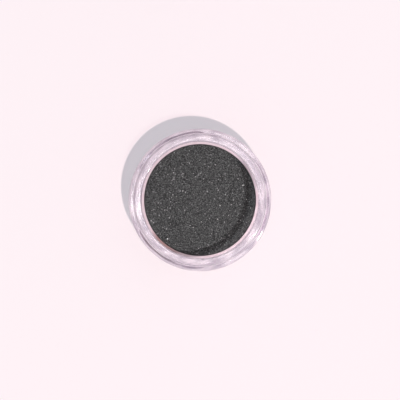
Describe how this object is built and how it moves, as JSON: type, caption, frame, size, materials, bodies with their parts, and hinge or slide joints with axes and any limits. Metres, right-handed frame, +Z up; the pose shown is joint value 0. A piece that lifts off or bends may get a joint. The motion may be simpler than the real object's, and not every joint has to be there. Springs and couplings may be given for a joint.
{
  "type": "eyeshadow pot",
  "caption": "Round clear eyeshadow pot with pressed charcoal shimmer shadow in a tin pan, a quarter-turn neck and a white lid with a foam liner laid beside it.",
  "frame": {"origin": "middle of the jar's foot ring, on the surface it stands on", "axes": "+Z up out of the jar's mouth, +Y from the jar towards the lid laid on the table, +X to the right"},
  "size_m": [0.0328, 0.0964, 0.0135],
  "materials": {
    "clear_plastic": "clear moulded plastic with a faint pink cast, polished",
    "tin": "bright drawn sheet",
    "glue": "dried hot-melt adhesive",
    "shadow_powder": "pressed charcoal powder with fine silver shimmer",
    "label_paper": "matt coated paper, blank",
    "white_plastic": "moulded white plastic, polished",
    "liner_foam": "closed-cell foam sheet"
  },
  "bodies": {
    "jar": {"jar": "clear_plastic", "tin_pan": "tin", "glue_pad": "glue", "shadow_cake": "shadow_powder", "base_label": "label_paper"},
    "liner": {"lid_liner": "liner_foam"},
    "lid": {"lid": "white_plastic"}
  },
  "joints": [
    {"name": "lid_place", "type": "hinge", "parent": "jar", "child": "liner", "pos_m": [0, 0.032, 0.0079], "axis": [1, 0, 0], "range_deg": [0, 180]},
    {"name": "lid_turn", "type": "hinge", "parent": "liner", "child": "lid", "pos_m": [0, 0.064, 0], "axis": [0, 0, 1], "range_deg": [0, 65]}
  ]
}
